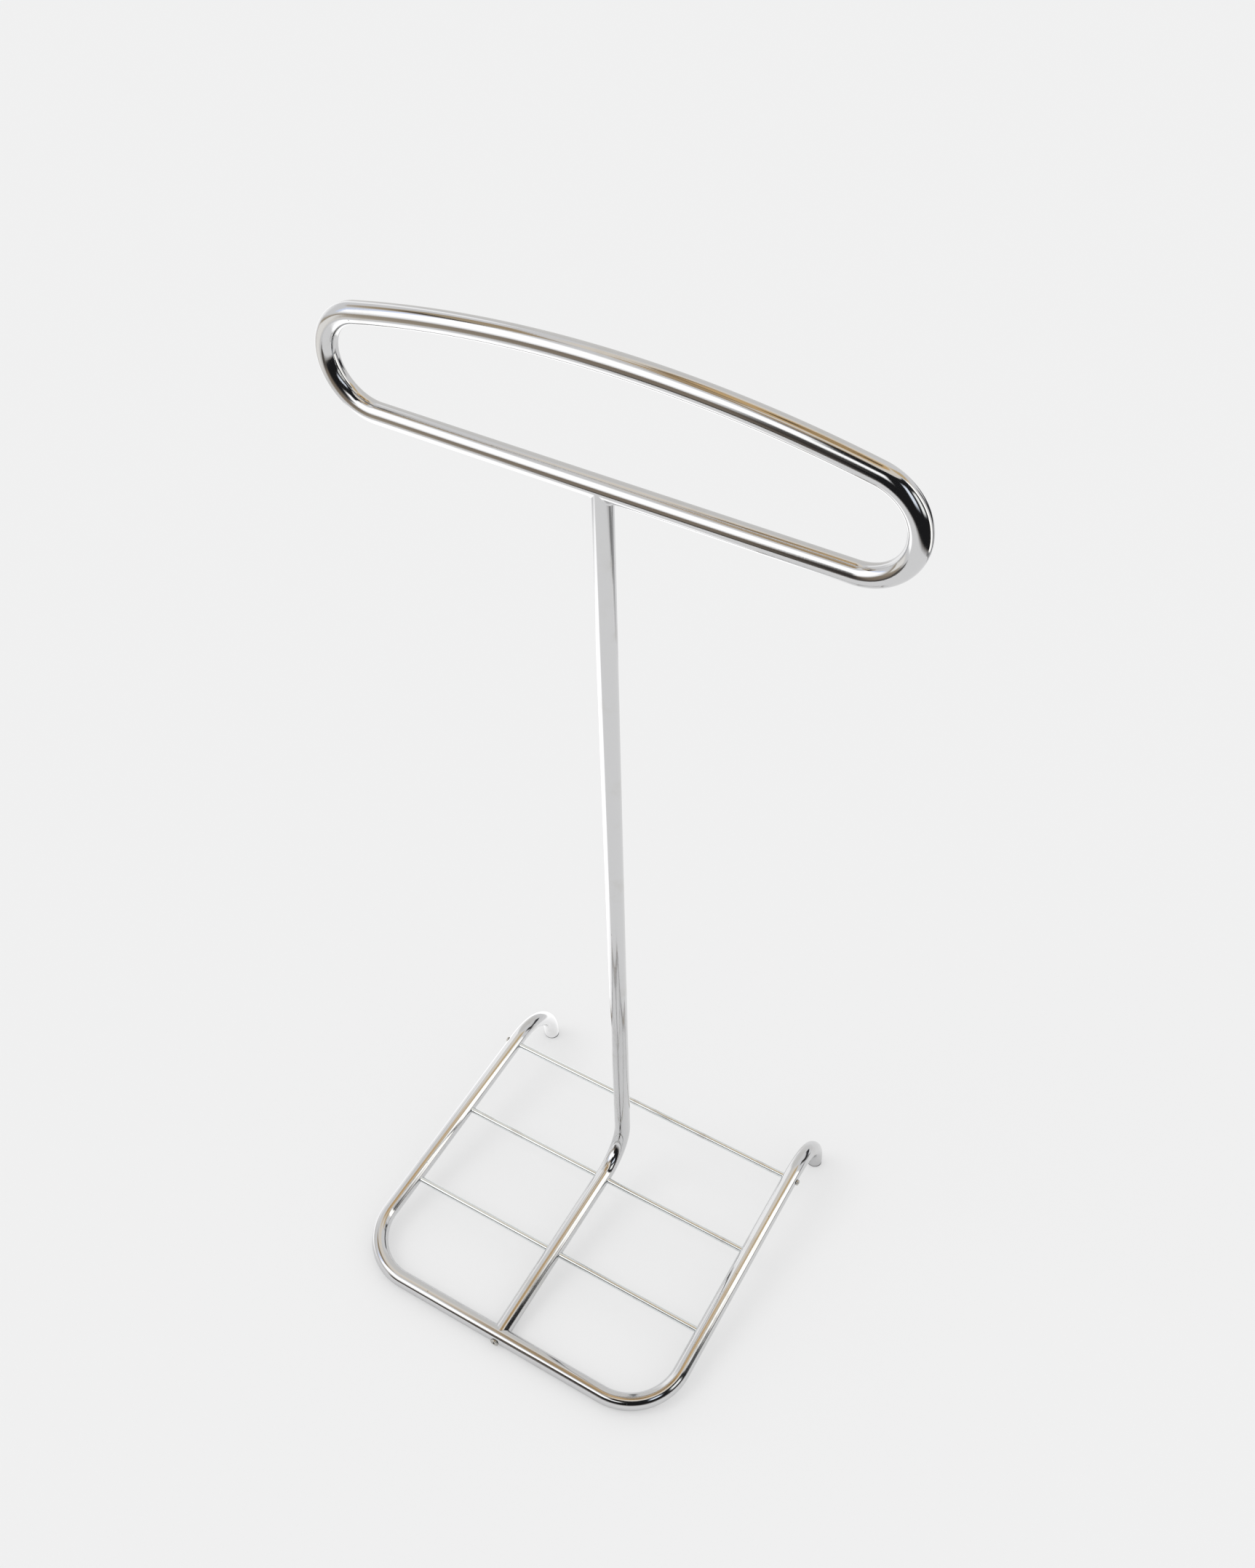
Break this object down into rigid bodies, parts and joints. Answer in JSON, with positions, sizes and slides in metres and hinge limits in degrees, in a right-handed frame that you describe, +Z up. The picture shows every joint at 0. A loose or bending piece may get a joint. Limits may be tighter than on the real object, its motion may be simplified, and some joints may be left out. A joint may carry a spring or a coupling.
{
  "type": "valet stand",
  "caption": "Free-standing valet stand of chromed tube: a closed hanger loop on a leaning post over a sloping rod rack for shoes.",
  "frame": {"origin": "on the floor, under the middle of the stand's box", "axes": "+Z up, +X to the right seen from the front, front crossbar towards -Y"},
  "size_m": [0.4538, 0.3832, 0.9715],
  "materials": {
    "chrome_tube": "bright polished chrome plate on bent steel tube",
    "chrome_rod": "bright chrome plate on thin steel rod",
    "screw_nickel": "nickel-plated screw steel",
    "plug_zinc": "zinc-plated turned steel",
    "cap_plastic": "moulded black plastic"
  },
  "bodies": {
    "root": {"base_frame": "chrome_tube", "post": "chrome_tube", "hanger_loop": "chrome_tube", "hanger_weld": "chrome_tube", "front_rod": "chrome_rod", "middle_rod": "chrome_rod", "rear_rod": "chrome_rod", "post_screw": "screw_nickel", "left_rear_screw": "screw_nickel", "right_rear_screw": "screw_nickel", "post_plug": "plug_zinc", "left_foot_cap": "cap_plastic", "right_foot_cap": "cap_plastic"}
  },
  "joints": []
}
